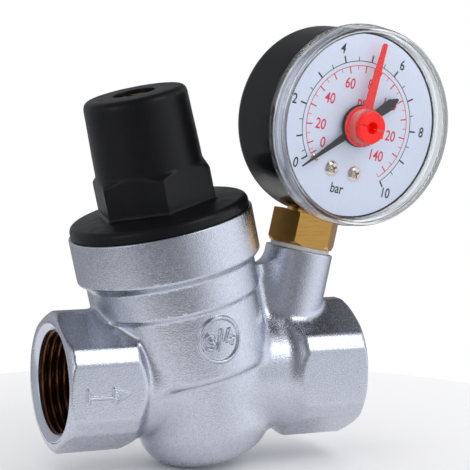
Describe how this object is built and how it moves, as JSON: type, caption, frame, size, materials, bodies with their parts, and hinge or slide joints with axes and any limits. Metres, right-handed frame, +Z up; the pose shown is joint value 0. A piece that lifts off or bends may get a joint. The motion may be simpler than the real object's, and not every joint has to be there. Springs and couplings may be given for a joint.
{
  "type": "pressure reducing valve",
  "caption": "Inclined diaphragm pressure reducing valve with two female pipe ports, a black spring bonnet and a bottom-entry dial gauge on an angled boss.",
  "frame": {"origin": "on the port axis at the mouth end of the inlet thread, 1.7 mm inside the inlet's end face", "axes": "+X is the flow direction from inlet to outlet, +Z is up, and -Y is the side that the gauge's dial faces"},
  "size_m": [0.0961, 0.0444, 0.1069],
  "materials": {
    "satin_chrome": "satin",
    "black_nylon": "satin",
    "brass": "satin",
    "white_nylon": "satin",
    "rubber": "matte",
    "spring_steel": "satin",
    "stainless_steel": "satin",
    "black_enamel": "gloss",
    "nickel_plate": "polished",
    "bronze": "satin",
    "dial_white": "satin",
    "clear_window": "gloss",
    "zinc_steel": "satin",
    "pointer_black": "satin",
    "red_plastic": "gloss"
  },
  "bodies": {
    "valve": {"valve_body": "satin_chrome", "bonnet": "black_nylon", "screw_bush": "brass", "slip_ring": "white_nylon", "diaphragm": "rubber", "main_spring": "spring_steel", "seat_cage": "brass", "cage_seal_ring": "rubber", "lower_guide": "brass", "strainer": "stainless_steel", "sealing_washer": "white_nylon", "gauge_socket": "brass", "gauge_case": "black_enamel", "case_screws": "nickel_plate", "bourdon_tube": "bronze", "tube_tip": "brass", "movement_back_plate": "brass", "movement_front_plate": "brass", "movement_pillars": "brass", "dial": "dial_white", "dial_screws": "nickel_plate", "stop_pin": "nickel_plate", "gauge_window": "clear_window"},
    "spring_seat": {"spring_seat": "zinc_steel"},
    "adjusting_screw": {"adjusting_screw": "brass"},
    "stem": {"stem": "brass", "lower_diaphragm_plate": "brass", "upper_diaphragm_plate": "zinc_steel", "diaphragm_nut": "brass", "seat_seal": "rubber", "obturator_disc": "brass", "obturator_nut": "brass"},
    "sector": {"sector_gear": "brass"},
    "link": {"link": "brass"},
    "pointer": {"pinion": "brass", "pointer": "pointer_black", "hairspring": "bronze"},
    "set_pointer": {"set_pointer_hub": "red_plastic", "set_pointer_arm": "red_plastic"}
  },
  "joints": [
    {"name": "seat_travel", "type": "slide", "parent": "valve", "child": "spring_seat", "axis": [0.2267, 0, -0.974], "range_m": [-0.00125, 0.005], "deforming": ["main_spring"]},
    {"name": "screw_turn", "type": "hinge", "parent": "spring_seat", "child": "adjusting_screw", "pos_m": [0.0204, 0, 0.05844], "axis": [0.2267, 0, -0.974], "range_deg": [-361, 1441]},
    {"name": "stem_lift", "type": "slide", "parent": "valve", "child": "stem", "axis": [-0.2267, 0, 0.974], "range_m": [0, 0.00228], "stiffness_N_per_m": 2000, "springref_m": -0.002, "deforming": ["diaphragm"]},
    {"name": "sector_turn", "type": "hinge", "parent": "valve", "child": "sector", "pos_m": [0.07418, -0.00695, 0.05067], "axis": [0.1057, -0.9942, -0.0221], "range_deg": [0, 42.4], "stiffness_Nm_per_rad": 0.002, "springref_deg": -11.46, "deforming": ["bourdon_tube", "tube_tip"]},
    {"name": "pointer_turn", "type": "hinge", "parent": "valve", "child": "pointer", "pos_m": [0.07021, -0.01292, 0.0607], "axis": [-0.1057, 0.9942, 0.0221], "range_deg": [0, 272.2], "deforming": ["hairspring"]},
    {"name": "link_swing", "type": "hinge", "parent": "sector", "child": "link", "pos_m": [0.07862, -0.00742, 0.04783], "axis": [0.1057, -0.9942, -0.0221], "range_deg": [-50, 5]},
    {"name": "set_pointer_turn", "type": "hinge", "parent": "valve", "child": "set_pointer", "pos_m": [0.07064, -0.0169, 0.06061], "axis": [-0.1057, 0.9942, 0.0221], "continuous": true}
  ],
  "couplings": [
    {"joint": "screw_turn", "follows": "seat_travel", "rad_per_m": 5026.5},
    {"joint": "pointer_turn", "follows": "sector_turn", "ratio": 6.4167},
    {"joint": "link_swing", "follows": "sector_turn", "ratio": -1.12}
  ]
}
